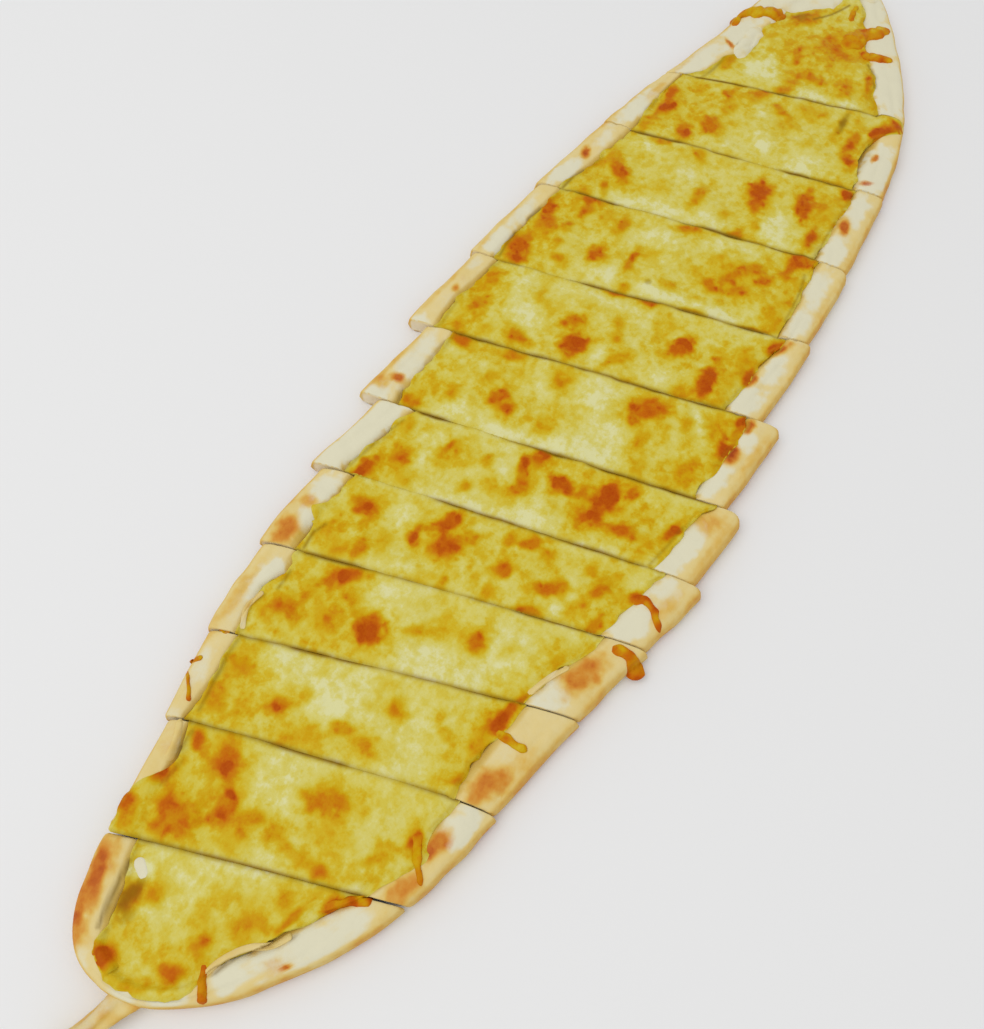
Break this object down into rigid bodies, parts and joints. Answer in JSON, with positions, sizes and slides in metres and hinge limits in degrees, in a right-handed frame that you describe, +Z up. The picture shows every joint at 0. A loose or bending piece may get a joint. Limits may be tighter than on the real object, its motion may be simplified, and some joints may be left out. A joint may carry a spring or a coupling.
{
  "type": "kashar cheese pide",
  "caption": "Long boat-shaped flatbread with a folded rim and melted, browned kashar cheese, cut across into slices that have slipped sideways along their cuts.",
  "frame": {"origin": "centre of the bounding box's underside, on the surface that the pide lies on", "axes": "+X runs along the loaf from its pinched tail to its blunt tip, +Y points to the side that the slices slipped towards, +Z up"},
  "size_m": [0.616, 0.1691, 0.0118],
  "materials": {
    "bread": "matt floury baked dough, white to golden brown",
    "cheese": "soft sheen of melted cheese, pale yellow with orange-brown blistered spots"
  },
  "bodies": {
    "root": {"bread_01": "bread", "bread_02": "bread", "bread_03": "bread", "bread_04": "bread", "bread_05": "bread", "bread_06": "bread", "bread_07": "bread", "bread_08": "bread", "bread_09": "bread", "bread_10": "bread", "bread_11": "bread", "bread_12": "bread", "cheese_01": "cheese", "cheese_02": "cheese", "cheese_03": "cheese", "cheese_04": "cheese", "cheese_05": "cheese", "cheese_06": "cheese", "cheese_07": "cheese", "cheese_08": "cheese", "cheese_09": "cheese", "cheese_10": "cheese", "cheese_11": "cheese", "cheese_12": "cheese"}
  },
  "joints": []
}
